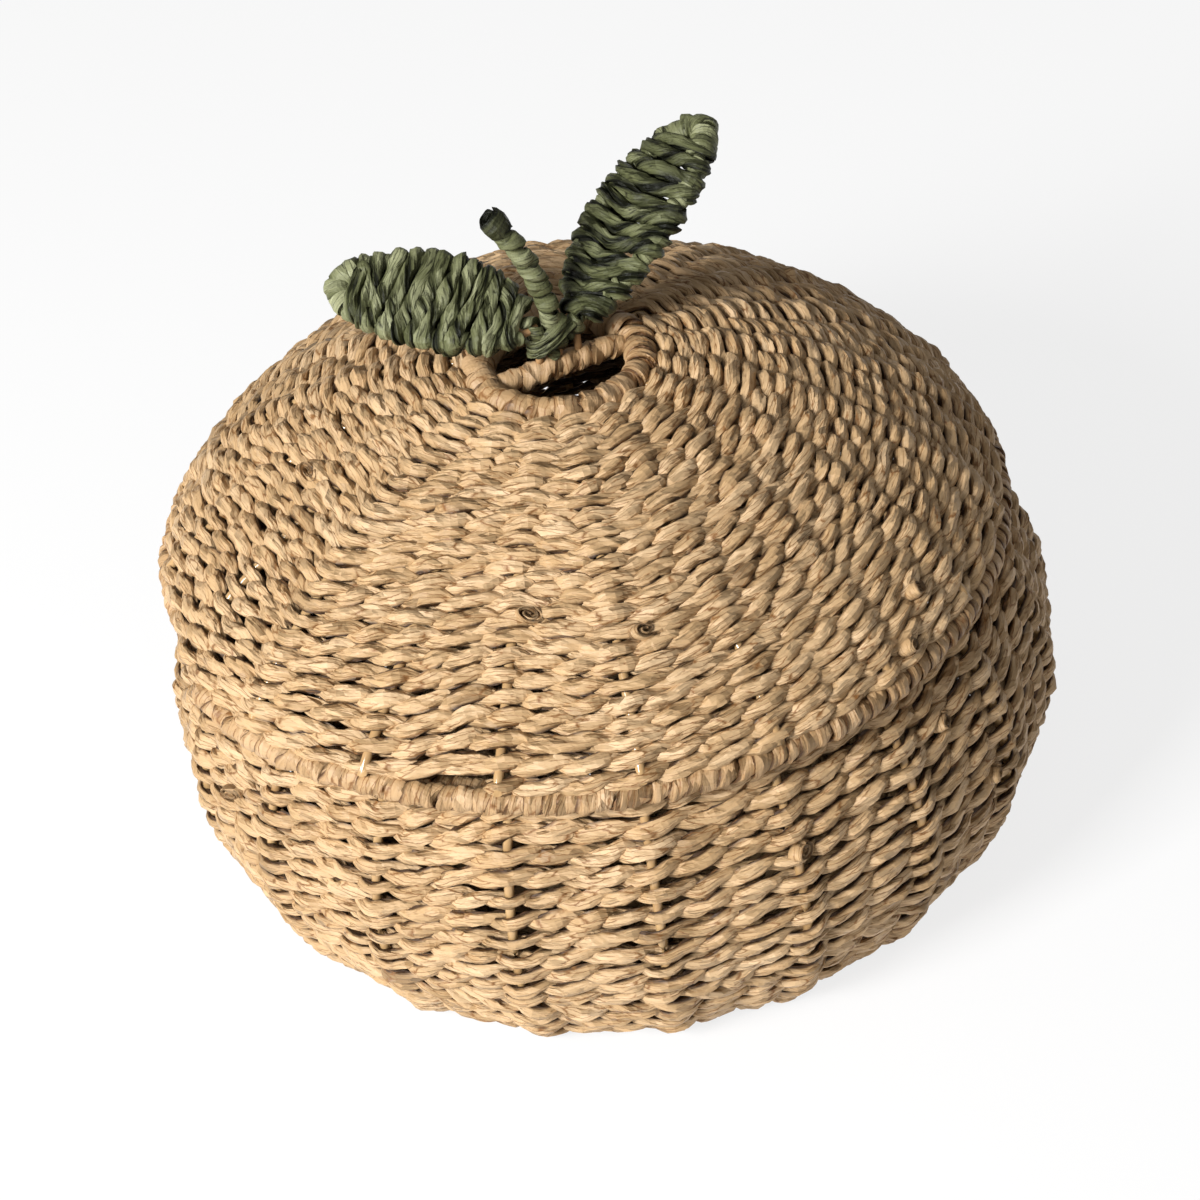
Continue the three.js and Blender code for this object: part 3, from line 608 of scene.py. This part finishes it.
def rolledEnd(place, axis, side, roll, look, seed):
    # strip rolled up in a spiral: place + reach * (side * cos + flat * other * sin), its reach growing evenly
    turn = np.linspace(0, roll["turns"], int(rolled["turnSteps"] * roll["turns"]))
    reach = (roll["from"] + (roll["to"] - roll["from"]) * turn / roll["turns"])[:, None]
    axis = unit(axis)
    side = unit(side - axis * (side @ axis))
    other = np.cross(axis, side) * roll["flat"]
    angle = 2 * np.pi * turn
    path = place + reach * (np.outer(np.cos(angle), side) + np.outer(np.sin(angle), other))
    along, out = frameAlong(path, path - place)
    tone = np.full(len(path), roll["tone"])
    return sweep(path, out, np.cross(along, out), roll["halfOut"], roll["halfAcross"], rolled["sides"], look,
                 seed, tone)


def cutEnds(surface, places):  # ends of rope that come out of a row, facing outwards and along it
    grids = []
    for i, (azimuth, along) in enumerate(places):
        here, beside, over = surface(np.array([0.0, 0.5, 0.0]) + azimuth, np.array([0.0, 0.0, 0.5]) + along)
        ahead = unit(beside - here)
        normal = unit(np.cross(ahead, over - here))
        axis = cutEnd["outward"] * normal + cutEnd["ahead"] * ahead
        place = here + normal * cutEnd["proud"]
        grids.append(rolledEnd(place, axis, ahead, cutEnd, cutLook, cutEnd["seed"] + i))
    return grids


makePiece("dome_ends", cutEnds(domeAt, domeEnds), strawRope, "lid", ["lid_weave"])
makePiece("wall_ends", cutEnds(wallAt, wallEnds), strawRope, "base", ["base_wall_weave"])
ropePieces("wall_rope", wallAt, wallWeave, 2, "base", ["base_wall_weave"])
ropePieces("floor_rope", floorAt, floorWeave, 1, "base", ["base_floor_weave"])
ropePieces("dome_rope", domeAt, domeWeave, 2, "lid", ["lid_weave"])
print("rope twined")


# frame wires

ribShape = {"wallPoints": 12, "floorRadius": 70.0, "domePoints": 10, "domeFrom": 24.0, "upright": 5.9}
nearlyUp = (0.02, 0.03, 1.0)  # no wire runs along this


def rod(points, radius=wire, count=40, sides=10, closed=False):  # a circle carried along a path
    if closed:
        path = np.asarray(points)
        along = unit(np.roll(path, -1, 0) - np.roll(path, 1, 0))
        out = allAlong((0, 0, 1), len(path))
    else:
        path = smoothPath(points, count)
        along, out = frameAlong(path, allAlong(nearlyUp, count))
    return sweep(path, out, np.cross(along, out), radius, radius, sides, closed=closed)


def lidRimAt(turn):  # a round and its lap: its start stands out, its end lies inside and over it
    closing = ease(turn, 360 - rimLap["ease"], 360)
    out = rimLap["out"] * (1 - ease(turn, rimLap["angle"], rimLap["angle"] + rimLap["ease"]) - closing)
    height = lidShape["rimHeight"] + rimLap["lift"] * closing
    return polar(lidShape["rimRadius"] + out, lapStart + turn, height) + lidCentre


def baseRib(azimuth):  # down the wall from the rim and in under the floor
    count = ribShape["wallPoints"]
    wall = wallAt(np.full(count, azimuth), np.linspace(wallTable["length"][-1] - weld, 0, count))
    radii = np.array([ribShape["floorRadius"], baseShape["floorRing"] + weld])
    return np.vstack([wall, polar(radii, azimuth, baseShape["floorHeight"])])


def lidRib(azimuth):  # upright out of the rim, then over the dome to the hole
    count = ribShape["domePoints"]
    foot = lidRimAt(np.array([(azimuth - lapStart) % 360]))
    lengths = np.linspace(ribShape["domeFrom"], domeTable["length"][-1] - weld, count)
    dome = domeAt(np.full(count, azimuth), lengths)
    return np.vstack([foot + [[0, 0, weld]], foot + [[0, 0, ribShape["upright"]]], dome])


def ring(radius, height, count=120):  # level circle, evenly round
    return polar(radius, np.linspace(0, 360, count, endpoint=False), height)


def ribNames(part):  # all ribs of the base or the lid
    return [f"{part}_rib_{i:02d}" for i in range(1, ribCount + 1)]


ribTurns = ribStep * np.arange(ribCount)
baseRods = [rod(baseRib(azimuth)) for azimuth in baseShape["firstRib"] + ribTurns]
baseRods.append(rod(ring(baseShape["rimRadius"], baseShape["rimHeight"]), closed=True))
baseRods.append(rod(ring(baseShape["floorRing"], baseShape["floorHeight"], 48), closed=True))
makePiece("base_wires", baseRods, tanWire, "base", ribNames("base") + ["base_rim_ring", "base_floor_ring"],
          True)

crossDirection = -polar(1.0, lidShape["firstRib"] - ribStep, 0.0)  # from front left to back right
crossHalf = lidShape["holeRadius"] - weld
holeHeight = lidShape["rimHeight"] + lidShape["rise"]
holeCentre = lidCentre + [0, 0, holeHeight]
lidRods = [rod(lidRib(azimuth)) for azimuth in lidShape["firstRib"] + ribTurns]
lidRods.append(rod(lidRimAt(np.linspace(0, lapLength, 60)), count=150))
lidRods.append(rod(ring(lidShape["holeRadius"], holeHeight, 60) + lidCentre, closed=True))
lidRods.append(rod([holeCentre + crossDirection * crossHalf * end for end in (-1, 0, 1)]))
makePiece("lid_wires", lidRods, tanWire, "lid",
          ribNames("lid") + ["lid_rim_ring", "lid_hole_ring", "crossbar_wire"], True)
print("wires bent")


# strips wound round rims and bars

# deep is how much painted shade darkens the sides of the wound strips
stripLook = {"waves": ((2, 0.09, 11.0), (3, 0.09, 7.0), (5, 0.05, 5.0)), "fold": 0.09, "foldLength": 3.0,
             "deep": 0.8, "edge": 1.3}
winding = {"driftPitches": 3.4, "strandLength": 6.0, "radiusShare": 0.6, "radiusLength": 40.0,
           "widthLength": 50.0, "thickLength": 30.0, "tone": 0.66, "toneNoise": 0.09, "endTaper": 6.0,
           "meet": 0.2}
rimStrip = {"pitch": 5.0, "radius": 2.3, "halfOut": 1.3, "halfAcross": 3.4, "tilt": 15.0, "turnSteps": 20,
            "sides": 12, "waver": 0.2, "drift": 0.13}
collarStrip = {"pitch": 6.4, "radius": 3.1, "halfOut": 1.8, "halfAcross": 4.4, "tilt": 18.0, "turnSteps": 28,
               "sides": 16, "waver": 0.22, "drift": 0.15}
crossStrip = {"pitch": 6.0, "radius": 2.3, "halfOut": 1.4, "halfAcross": 3.9, "tilt": 9.0, "turnSteps": 28,
              "sides": 16, "waver": 0.2, "drift": 0.12, "short": 1.5}


def windStrip(path, hint, strip, seed, closed=False, look=stripLook):
    # a flat strand led round a path: path + radius * (out * cos + up * sin), its angle growing evenly
    w = winding
    loop = np.vstack([path, path[:1]]) if closed else path
    run = runOf(loop)
    length = run[-1]
    turns = round(length / strip["pitch"])
    count = turns * strip["turnSteps"]
    share = np.arange(count) / (count if closed else count - 1)
    at = pointsAt(share, run / length, loop)
    along = unit(np.roll(at, -3, 0) - np.roll(at, 3, 0) if closed else np.gradient(at, axis=0))
    out = squareTo(along, pointsAt(share, np.linspace(0, 1, len(hint)), hint))
    up = np.cross(out, along)
    fade = np.sin(np.pi * share) ** w["meet"] if closed else 1.0  # even where a closed winding meets itself
    uneven = fade * strip["waver"]
    drift = fade * strip["drift"] * waver(share * length, seed, w["driftPitches"] * strip["pitch"])
    angle = 2 * np.pi * (turns * share + drift)
    outward = out * np.cos(angle)[:, None] + up * np.sin(angle)[:, None]
    strand = share * length * w["strandLength"]  # about the length of strand so far
    radius = strip["radius"] * (1 + w["radiusShare"] * uneven * waver(strand, seed + 1, w["radiusLength"]))
    centre = at + outward * radius[:, None]
    heading = unit(np.roll(centre, -1, 0) - np.roll(centre, 1, 0) if closed else np.gradient(centre, axis=0))
    across = unit(np.cross(heading, outward))
    lean = math.radians(strip["tilt"])
    leanOut = outward * math.cos(lean) + across * math.sin(lean)
    leanAcross = across * math.cos(lean) - outward * math.sin(lean)
    width = strip["halfAcross"] * (1 + uneven * waver(strand, seed + 2, w["widthLength"]))
    thick = strip["halfOut"] * (1 + uneven * waver(strand, seed + 3, w["thickLength"]))
    tones = np.random.default_rng(seed).normal(0, w["toneNoise"], turns + 2)
    tone = np.clip(w["tone"] + np.interp(share * turns, np.arange(turns + 2), tones), 0, 1)
    if not closed:
        ends = np.sqrt(np.clip(np.minimum(share, 1 - share) * turns * w["endTaper"], 0.05, 1))
        width, thick = width * ends, thick * ends
    return sweep(centre, leanOut, leanAcross, thick, width, strip["sides"], look, seed, tone, closed)


def outFrom(path, middle):  # level directions away from an upright axis
    away = path - middle
    away[:, 2] = 0
    return unit(away)


baseRing = ring(baseShape["rimRadius"], baseShape["rimHeight"], 720)
makePiece("base_rim_strip", [windStrip(baseRing, outFrom(baseRing, np.zeros(3)), rimStrip, 51, closed=True)],
          strawStrip, "base", ["base_rim_wrap"])
lidRing = lidRimAt(np.linspace(0, lapLength, 740))
makePiece("lid_rim_strip", [windStrip(lidRing, outFrom(lidRing, lidCentre), rimStrip, 53)],
          strawStrip, "lid", ["lid_rim_wrap"])
holeRing = ring(lidShape["holeRadius"], holeHeight, 360) + lidCentre
makePiece("collar_strip", [windStrip(holeRing, outFrom(holeRing, lidCentre), collarStrip, 57, closed=True)],
          strawStrip, "lid", ["lid_hole_winding"])
crossPath = np.linspace(-1, 1, 60)[:, None] * crossDirection * (crossHalf - crossStrip["short"]) + holeCentre
makePiece("crossbar_strip", [windStrip(crossPath, allAlong((0, 0, 1), len(crossPath)), crossStrip, 59)],
          strawStrip, "lid", ["crossbar_winding"])
print("rims wound")


# stem and leaves

stemShape = {"height": 49.0, "lean": 13.5, "bend": 0.6, "wire": 1.2, "foot": 3.2, "apart": 6.4, "bare": 2}
stemStrip = {"pitch": 6.2, "radius": 2.1, "halfOut": 1.3, "halfAcross": 3.1, "tilt": 14.0, "turnSteps": 26,
             "sides": 14, "waver": 0.2, "drift": 0.15}
stemRoll = {"turns": 2.4, "from": 0.9, "to": 4.2, "flat": 0.9, "halfOut": 0.8, "halfAcross": 3.2,
            "tone": 0.25}
tie = {"turns": 2.75, "start": 0.5, "low": 7.0, "high": 12.0, "slant": 3.0, "long": 5.2, "wide": 3.2,
       "halfOut": 1.1, "halfAcross": 1.8, "tail": 6.5, "droop": 0.3, "step": 0.9, "sides": 14}
# deep is how much painted shade darkens the sides of the green cords
greenLook = {"waves": ((2, 0.07, 19.0), (3, 0.09, 11.0), (5, 0.06, 9.0)), "fold": 0.09, "foldLength": 2.6,
             "deep": 0.5, "edge": 1.3}
towardsFront = (0.0, -1.0, 0.0)
feet = {side: holeCentre + [0, 0, stemShape["foot"]] + crossDirection * stemShape["apart"] * side
        for side in (-1, 0, 1)}


def stemPath(count=80):  # quadratic curve: up from the foot, then leaning to the left
    t = np.linspace(0, 1, count)[:, None]
    foot = feet[0]
    bend = foot + [0, 0, stemShape["height"] * stemShape["bend"]]
    top = foot + [-stemShape["lean"], 0, stemShape["height"]]
    return foot * (1 - t) ** 2 + 2 * bend * t * (1 - t) + top * t ** 2


def tieCord():  # oval slanting coil round the feet of the stem and the left leaf, with a short tail
    turn = np.linspace(0, tie["turns"], 140)
    angle = 2 * np.pi * turn + tie["start"]
    middle = (feet[-1] + feet[0]) / 2
    beside = np.cross([0, 0, 1.0], crossDirection)
    away = np.outer(tie["long"] * np.cos(angle), crossDirection)
    away = away + np.outer(tie["wide"] * np.sin(angle), beside)
    rise = tie["high"] + (tie["low"] - tie["high"]) * turn / tie["turns"] + tie["slant"] * np.cos(angle)
    coil = middle + away + np.outer(rise, [0, 0, 1.0])
    onward = unit(coil[-1] - coil[-4] + [0, 0, -tie["droop"]])
    tail = coil[-1] + np.outer(np.linspace(0.1, 1, 12), tie["tail"] * onward)
    path = evenPath(np.vstack([coil, tail]), tie["step"])
    along, out = frameAlong(path, path - middle)
    return sweep(path, out, np.cross(along, out), tie["halfOut"], tie["halfAcross"], tie["sides"], greenLook,
                 67)


stem = stemPath()
makePiece("stem_rod", [rod(stem[::8], stemShape["wire"])], twigWire, "lid", ["stem_wire"], True)
wound = stem[stemShape["bare"]:]
stemCord = windStrip(wound, allAlong(towardsFront, len(wound)), stemStrip, 61)
stemTop = rolledEnd(stem[-1], stem[-1] - stem[-4], np.array(towardsFront), stemRoll, greenLook, 65)
makePiece("stem_strip", [stemCord, stemTop, tieCord()], greenCord, "lid", ["stem_winding"])

leafShape = {"wire": 1.2, "halfWidth": 12.0, "arch": 4.0, "point": 1.2, "pinch": 0.5, "reach": 2.6,
             "wireTurn": 360 * 20 / 22, "shank": 4.0}
leftLeaf = {"foot": -1, "stalk": 12.5, "reach": (-56, 18, 25), "face": (0, -0.45, 0.9), "loops": 12,
            "start": 0.09, "end": 0.95, "skew": 1.3, "chevron": 0.3, "uneven": 0.14, "tone": 0.67, "seed": 71}
# the right leaf has a lower tone than the left: painted shade over the whole leaf
rightLeaf = {"foot": 1, "stalk": 10.0, "reach": (45, 34, 48.7), "face": (-0.5, -0.4, 0.76), "loops": 13,
             "start": 0.04, "end": 0.95, "skew": 0.4, "chevron": 1.2, "uneven": 0.12, "tone": 0.48,
             "seed": 73}
leafCord = {"turnSteps": 200, "step": 0.8, "sides": 13, "offset": 0.8, "halfOut": 1.4, "halfAcross": 2.1,
            "edge": 0.25, "edgePower": 6, "twist": 13.0, "skewWaver": 0.5, "skewTurns": 1.6,
            "unevenTurns": 0.9, "first": 0.02, "overhang": 0.75, "blunt": 0.45, "core": 0.8,
            "phaseWaver": 1.2, "phaseLength": 34.0, "thickWaver": 0.12, "thickLength": 16.0,
            "toneWaver": 0.14, "toneLength": 22.0}
edgeStrip = {"pitch": 4.6, "radius": 1.7, "halfOut": 1.15, "halfAcross": 2.6, "tilt": 14.0, "turnSteps": 18,
             "sides": 10, "waver": 0.2, "drift": 0.15}
tipStrip = {"pitch": 3.9, "radius": 2.8, "halfOut": 1.8, "halfAcross": 3.2, "tilt": 10.0, "turnSteps": 22,
            "sides": 12, "waver": 0.16, "drift": 0.15}
leafWraps = ((30, 150, 60, edgeStrip, 7), (210, 326, 60, edgeStrip, 8), (140, 220, 40, tipStrip, 5))


def leafFrame(leaf):  # ends of the stalk, way to the tip, across the leaf, and out of its face
    foot = feet[leaf["foot"]]
    top = foot + [0, 0, leaf["stalk"]]
    spine = foot + np.array(leaf["reach"], float) - top
    axis = unit(spine)
    across = unit(np.cross(leaf["face"], axis))
    return {"foot": foot, "top": top, "length": np.linalg.norm(spine), "axis": axis, "across": across,
            "normal": np.cross(axis, across)}


def halfWidthAt(share):  # full in the middle and drawn to a point at both ends, more so at the stalk
    power = leafShape["point"] + leafShape["pinch"] * np.clip(1 - share, 0, 1) ** 2
    return leafShape["halfWidth"] * (2 * np.sqrt(np.clip(share * (1 - share), 0, 1))) ** power


def leafPoint(leaf, share, width, height):  # along the axis, across it, and over its arch
    at = leafFrame(leaf)
    lift = height + leafShape["arch"] * np.sin(np.pi * np.clip(share, 0, 1))
    return (at["top"] + np.outer(at["length"] * share, at["axis"]) + np.outer(width, at["across"])
            + np.outer(lift, at["normal"]))


def leafOutline(leaf, start, end, count):  # edge wire, by an angle in degrees that goes once round the leaf
    angle = np.radians(np.linspace(start, end, count))
    share = (1 - np.cos(angle)) / 2
    return leafPoint(leaf, share, np.sign(np.sin(angle)) * halfWidthAt(share), np.zeros(count))


def leafStrands(leaf):
    # loops across the leaf: width follows a cosine and height a blunted sine; the loops lean, sag towards the
    # stalk in the middle and wander a little; two strands circle that path and turn with it
    cord = leafCord
    seed = leaf["seed"]
    turn = np.linspace(0, leaf["loops"], leaf["loops"] * cord["turnSteps"])
    circle = 2 * np.pi * turn
    side = np.cos(circle)
    pitch = (leaf["end"] - leaf["start"]) / leaf["loops"]
    middle = leaf["start"] + pitch * turn
    room = np.sin(np.pi * middle)
    lean = 0.5 * (leaf["skew"] + cord["skewWaver"] * waver(turn, seed + 4, cord["skewTurns"])) * side
    lean = lean - leaf["chevron"] * (1 - np.abs(side)) * (1 - middle)
    share = middle + pitch * (lean * room + leaf["uneven"] * waver(turn, seed, cord["unevenTurns"]))
    share = np.clip(share, cord["first"], 1 - cord["first"])
    width = (halfWidthAt(share) + cord["overhang"] * leafShape["reach"]) * side
    height = leafShape["reach"] * np.sign(np.sin(circle)) * np.abs(np.sin(circle)) ** cord["blunt"]
    loops = leafPoint(leaf, share, width, height)
    core = leafPoint(leaf, share, cord["core"] * width, np.zeros(len(share)))
    run = runOf(loops)
    even = np.linspace(0, run[-1], int(run[-1] / cord["step"]))
    path = pointsAt(even, run, loops)
    along, out = frameAlong(path, path - pointsAt(even, run, core))
    up = np.cross(out, along)
    atEdge = cord["edge"] * np.interp(even, run, side ** cord["edgePower"])
    drift = cord["phaseWaver"] * waver(even, seed, cord["phaseLength"])
    grids = []
    for strand in (0, 1):
        phase = np.pi * (even / cord["twist"] + strand) + drift
        cos, sin = np.cos(phase)[:, None], np.sin(phase)[:, None]
        outward = out * cos + up * sin
        thick = 1 + cord["thickWaver"] * waver(even, seed + 1 + strand, cord["thickLength"]) + atEdge
        tone = leaf["tone"] + cord["toneWaver"] * waver(even, seed + 3 + strand, cord["toneLength"])
        grids.append(sweep(path + outward * cord["offset"], outward, up * cos - out * sin,
                           cord["halfOut"] * thick, cord["halfAcross"] * thick, cord["sides"], greenLook,
                           seed + strand, np.clip(tone, 0, 1)))
    return grids


def makeLeaf(name, leaf):  # edge wire on its stalk; loops across it, and turns round its sides, tip and shank
    at = leafFrame(leaf)
    half = (at["foot"] + at["top"]) / 2
    edge = np.vstack([at["foot"], half, leafOutline(leaf, 0, leafShape["wireTurn"], 40)])
    makePiece(f"{name}_rod", [rod(edge, leafShape["wire"], 90)], twigWire, "lid", [f"{name}_wire"],
              True)
    grids = leafStrands(leaf)
    for start, end, count, strip, number in leafWraps:
        rim = leafOutline(leaf, start, end, count)
        out = allAlong(at["normal"], count)
        grids.append(windStrip(rim, out, strip, leaf["seed"] + number, look=greenLook))
    shank = smoothPath([half, at["top"], at["top"] + at["axis"] * leafShape["shank"]], 40)
    front = allAlong(towardsFront, len(shank))
    grids.append(windStrip(shank, front, edgeStrip, leaf["seed"] + 6, look=greenLook))
    makePiece(f"{name}_cord", grids, greenCord, "lid", [f"{name}_winding"])


makeLeaf("leaf_left", leftLeaf)
makeLeaf("leaf_right", rightLeaf)
print("leaves wound")


# start of the floor's weave, inside its ring

hubRope = {"turns": 2.6, "from": 1.0, "to": 14.4, "halfOut": 2.6, "halfAcross": 3.6, "step": 1.2, "sides": 14}


def makeHub():  # an ellipse carried along a level spiral
    turn = np.linspace(0, hubRope["turns"], 260)
    radius = hubRope["from"] + (hubRope["to"] - hubRope["from"]) * turn / hubRope["turns"]
    path = evenPath(polar(radius, 360 * turn, np.full_like(turn, baseShape["floorHeight"])), hubRope["step"])
    along, out = frameAlong(path, allAlong((0, 0, 1), len(path)))
    grid = sweep(path, out, np.cross(along, out), hubRope["halfOut"], hubRope["halfAcross"], hubRope["sides"],
                 ropeLook, 83)
    makePiece("floor_hub_rope", [grid], strawRope, "base", ["base_floor_hub"])


makeHub()
print("hub made")


# floor and light

studio = {"floor": 6.0, "paper": 0.86, "white": 0.80, "world": 0.27, "sky": 0.95, "key": 40.5, "keySize": 0.5,
          "keyPlace": (-0.98, -0.90, 0.94), "aim": (0.0, 0.0, 0.08)}


def makeFloor():  # square sheet, mostly an even white to the camera and in gloss; the rest takes the shadow
    half = studio["floor"] / 2
    mesh = bpy.data.meshes.new("floor")
    corners = [(-half, -half, 0), (half, -half, 0), (half, half, 0), (-half, half, 0)]
    mesh.from_pydata(corners, [], [(0, 1, 2, 3)])
    material, tree = newMaterial("pale floor")
    tree.nodes.remove(tree.nodes["Principled BSDF"])
    paper = addNode(tree, "ShaderNodeBsdfDiffuse", Color=(*[studio["paper"]] * 3, 1)).outputs[0]
    white = addNode(tree, "ShaderNodeEmission", Color=(1, 1, 1, 1)).outputs[0]
    rays = addNode(tree, "ShaderNodeLightPath").outputs
    seen = addNode(tree, "ShaderNodeMath", rays["Is Camera Ray"], rays["Is Glossy Ray"], operation="MAXIMUM")
    share = addNode(tree, "ShaderNodeMath", seen.outputs[0], studio["white"], operation="MULTIPLY")
    mix = addNode(tree, "ShaderNodeMixShader", share.outputs[0], paper, white).outputs[0]
    tree.links.new(mix, tree.nodes["Material Output"].inputs["Surface"])
    mesh.materials.append(material)
    floor = addObject("floor", mesh)


def makeLamp():  # square lamp turned to the basket
    data = bpy.data.lights.new("key lamp", "AREA")
    data.size = studio["keySize"]
    data.energy = studio["key"]
    back = unit(np.subtract(studio["keyPlace"], studio["aim"]))
    right = unit(np.cross([0, 0, 1.0], back))
    lamp = addObject("key lamp", data)
    lamp.matrix_world = turnedTo(right, np.cross(back, right), back, studio["keyPlace"])


def makeWorld():  # white to the camera, dimmer as light
    world = bpy.data.worlds.new("studio")
    bpy.context.scene.world = world
    world.use_nodes = True
    tree = world.node_tree
    sky = tree.nodes["Background"]
    sky.inputs["Color"].default_value = (1, 1, 1, 1)
    rays = addNode(tree, "ShaderNodeLightPath").outputs
    strength = addRange(tree, rays["Is Camera Ray"], 0.0, 1.0, studio["world"], studio["sky"])
    tree.links.new(strength, sky.inputs["Strength"])


makeFloor()
makeLamp()
makeWorld()
bpy.context.scene.view_settings.view_transform = "Standard"
print("light set")
